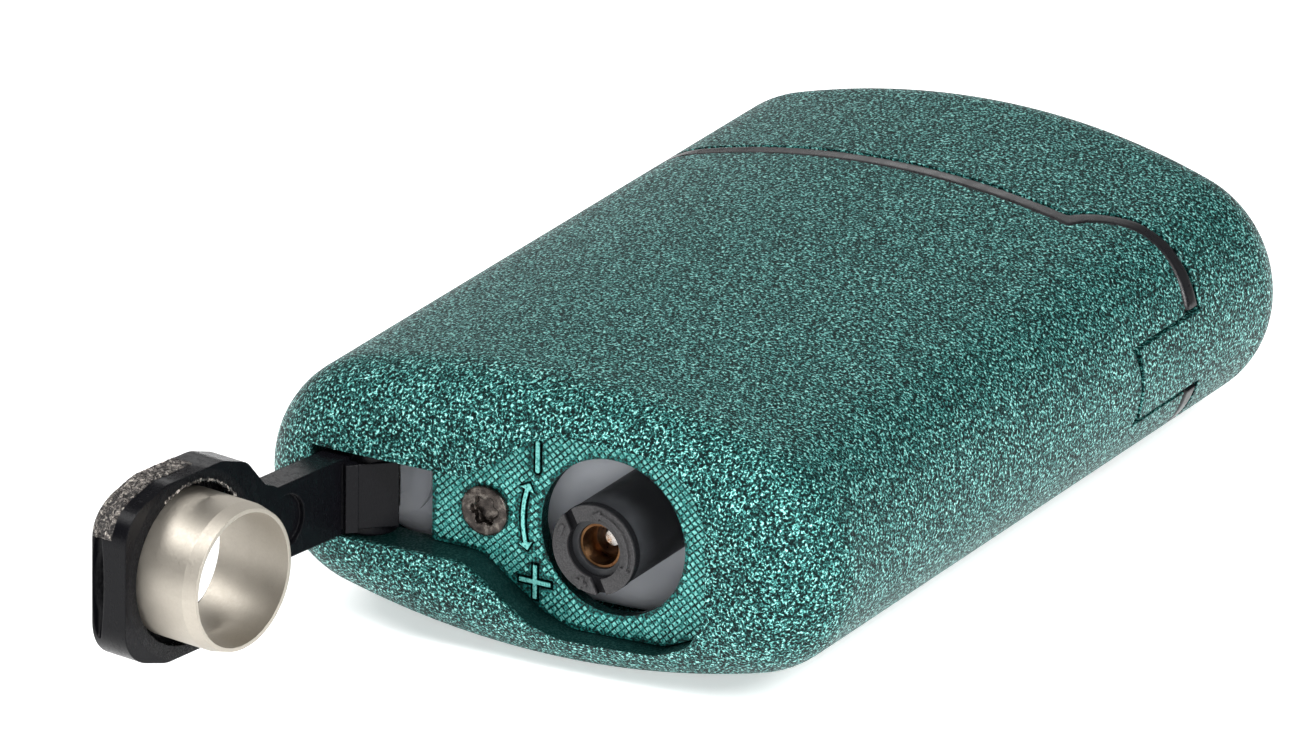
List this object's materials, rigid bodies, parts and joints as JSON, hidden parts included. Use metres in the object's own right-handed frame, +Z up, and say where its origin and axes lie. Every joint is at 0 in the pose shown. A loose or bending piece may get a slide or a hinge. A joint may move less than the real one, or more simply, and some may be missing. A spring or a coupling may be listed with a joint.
{
  "type": "pocket torch lighter with fold-out cigar punch",
  "caption": "Refillable pocket torch lighter: oval painted body, thumb-levered hinged lid, and a cigar punch that folds out of the base over the flame adjuster and refill valve.",
  "frame": {"origin": "middle of the whole part, punch deployed, seen from above, at the height of the lowest line of the back face that it lies on", "axes": "+Z up, out of the front wide face; +Y from the base to the lid; +X the side with the lid hinge and thumb tongue"},
  "size_m": [0.04, 0.0838, 0.0184],
  "materials": {
    "teal_crinkle_paint": "crinkle-textured metallic enamel on cast zinc",
    "black_cast": "satin black, coarse cast skin",
    "punch_steel": "turned and brushed stainless steel",
    "black_screw": "blackened steel",
    "steel": "bright",
    "black_plastic": "moulded, satin",
    "bezel_black": "gloss",
    "valve_brass": "turned",
    "tank_plastic": "milky moulded plastic",
    "burner_steel": "drawn steel"
  },
  "bodies": {
    "body": {"body_shell": "teal_crinkle_paint", "base_plate": "teal_crinkle_paint", "seam_bezel": "bezel_black", "base_screw": "black_screw", "refill_valve_body": "valve_brass", "refill_spring": "steel", "punch_pin": "steel", "lid_hinge_pin": "steel", "punch_detent_leaf": "steel", "fuel_tank": "tank_plastic", "tank_cap": "tank_plastic", "inner_frame": "black_plastic", "igniter_body": "black_plastic", "igniter_spring": "steel", "burner_block": "black_plastic", "burner_guard": "burner_steel", "jet_nozzle_1": "valve_brass", "jet_nozzle_2": "valve_brass", "jet_nozzle_3": "valve_brass", "gas_tube": "valve_brass", "spark_wire": "steel"},
    "lid": {"lid_shell": "teal_crinkle_paint"},
    "igniter_plunger": {"igniter_plunger": "black_plastic"},
    "punch": {"punch_arm": "black_cast", "punch_tube": "punch_steel"},
    "flame_adjuster": {"adjuster_ring": "black_plastic", "adjuster_sleeve": "black_plastic"},
    "refill_stem": {"refill_stem": "steel"}
  },
  "joints": [
    {"name": "lid_hinge", "type": "hinge", "parent": "body", "child": "lid", "pos_m": [0.0166, 0.02296, 0.0092], "axis": [0, 0, -1], "range_deg": [0, 55], "stiffness_Nm_per_rad": 0.04, "springref_deg": -20.05},
    {"name": "igniter_press", "type": "slide", "parent": "body", "child": "igniter_plunger", "axis": [-1, 0, 0], "range_m": [0, 0.0029], "deforming": ["igniter_spring"]},
    {"name": "punch_swing", "type": "hinge", "parent": "body", "child": "punch", "pos_m": [-0.01242, -0.01914, 0.0092], "axis": [0, 0, 1], "range_deg": [0, 99]},
    {"name": "flame_adjust", "type": "hinge", "parent": "body", "child": "flame_adjuster", "pos_m": [0.0045, -0.02144, 0.0092], "axis": [0, -1, 0], "range_deg": [-60, 60]},
    {"name": "refill_press", "type": "slide", "parent": "body", "child": "refill_stem", "axis": [0, 1, 0], "range_m": [0, 0.0006], "stiffness_N_per_m": 1500, "springref_m": -0.0006, "deforming": ["refill_spring"]}
  ],
  "couplings": [
    {"joint": "igniter_press", "follows": "lid_hinge", "m_per_rad": 0.003021}
  ]
}
